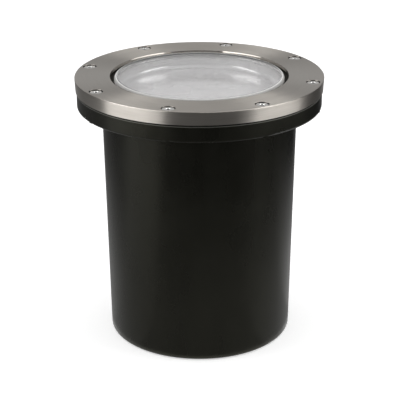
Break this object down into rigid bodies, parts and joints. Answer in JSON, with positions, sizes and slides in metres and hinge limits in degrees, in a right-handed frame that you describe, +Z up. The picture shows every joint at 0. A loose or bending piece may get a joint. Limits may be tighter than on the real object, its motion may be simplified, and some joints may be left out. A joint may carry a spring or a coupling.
{
  "type": "in ground well light",
  "caption": "Round in ground well light: black drafted well with a flange, screwed stainless ring, thick glass lens in a lift-off lid, and a reflector lamp that turns and tilts inside.",
  "frame": {"origin": "centre of the well's flat underside", "axes": "+Z up along the well's axis, through the lens; +X towards the tilt lock knob; +Y towards the open conduit entry"},
  "size_m": [0.2499, 0.25, 0.2726],
  "materials": {
    "black_composite": "moulded satin black",
    "brushed_stainless": "turned and brushed",
    "screw_stainless": "plain stainless",
    "clear_glass": "clear toughened",
    "frosted_glass": "frosted",
    "black_rubber": "moulded silicone",
    "brass": "machined",
    "zinc_steel": "zinc plated sheet",
    "cradle_aluminium": "die cast",
    "white_nylon": "moulded nylon",
    "knob_plastic": "moulded black",
    "terminal_plastic": "moulded",
    "spring_steel": "spring temper",
    "lamp_glass": "pressed glass",
    "reflector_silver": "vacuum coated glass",
    "lamp_base_metal": "rolled screw shell",
    "ceramic": "glazed ceramic",
    "plug_plastic": "moulded black"
  },
  "bodies": {
    "well": {"well_housing": "black_composite", "threaded_inserts": "brass", "housing_gasket": "black_rubber", "closing_plug": "plug_plastic", "mounting_plate": "zinc_steel", "plate_screws": "screw_stainless", "lead_grommets": "black_rubber", "terminal_block": "terminal_plastic", "terminal_screws": "brass", "ground_screw": "brass", "ground_lug": "brass", "swivel_bush": "white_nylon", "swivel_stud": "zinc_steel", "friction_washer": "zinc_steel"},
    "lid": {"trim_ring": "brushed_stainless", "ring_screws": "screw_stainless", "cover_lens": "clear_glass", "lens_gasket": "black_rubber", "frosted_diffuser": "frosted_glass"},
    "yoke": {"aiming_yoke": "zinc_steel"},
    "wing_nut": {"swivel_wing_nut": "brass"},
    "cradle": {"cradle_ring": "cradle_aluminium", "pivot_screws": "screw_stainless", "pivot_washers": "white_nylon", "lamp_clips": "spring_steel", "clip_screws": "screw_stainless", "lamp_reflector": "reflector_silver", "lamp_lens": "lamp_glass", "lamp_base_shell": "lamp_base_metal", "lamp_base_insulator": "ceramic", "lamp_capsule": "lamp_glass", "lampholder_body": "ceramic", "lampholder_shell": "brass", "lampholder_contact": "brass", "lampholder_bracket": "zinc_steel", "lampholder_screws": "screw_stainless", "bracket_screws": "screw_stainless"},
    "tilt_knob": {"tilt_lock_knob": "knob_plastic", "knob_washer": "screw_stainless"}
  },
  "joints": [
    {"name": "lid_lift", "type": "slide", "parent": "well", "child": "lid", "axis": [0, 0, 1], "range_m": [0, 0.12]},
    {"name": "swivel_turn", "type": "hinge", "parent": "well", "child": "yoke", "pos_m": [0, 0, 0.0463], "axis": [0, 0, 1], "range_deg": [-175, 175]},
    {"name": "wing_nut_turn", "type": "hinge", "parent": "well", "child": "wing_nut", "pos_m": [0, 0, 0.0514], "axis": [0, 0, 1], "range_deg": [0, 360]},
    {"name": "lamp_tilt", "type": "hinge", "parent": "yoke", "child": "cradle", "pos_m": [0, 0, 0.198], "axis": [1, 0, 0], "range_deg": [-15, 15]},
    {"name": "tilt_knob_turn", "type": "hinge", "parent": "cradle", "child": "tilt_knob", "pos_m": [0.0734, 0, 0.166], "axis": [1, 0, 0], "range_deg": [0, 360]}
  ]
}
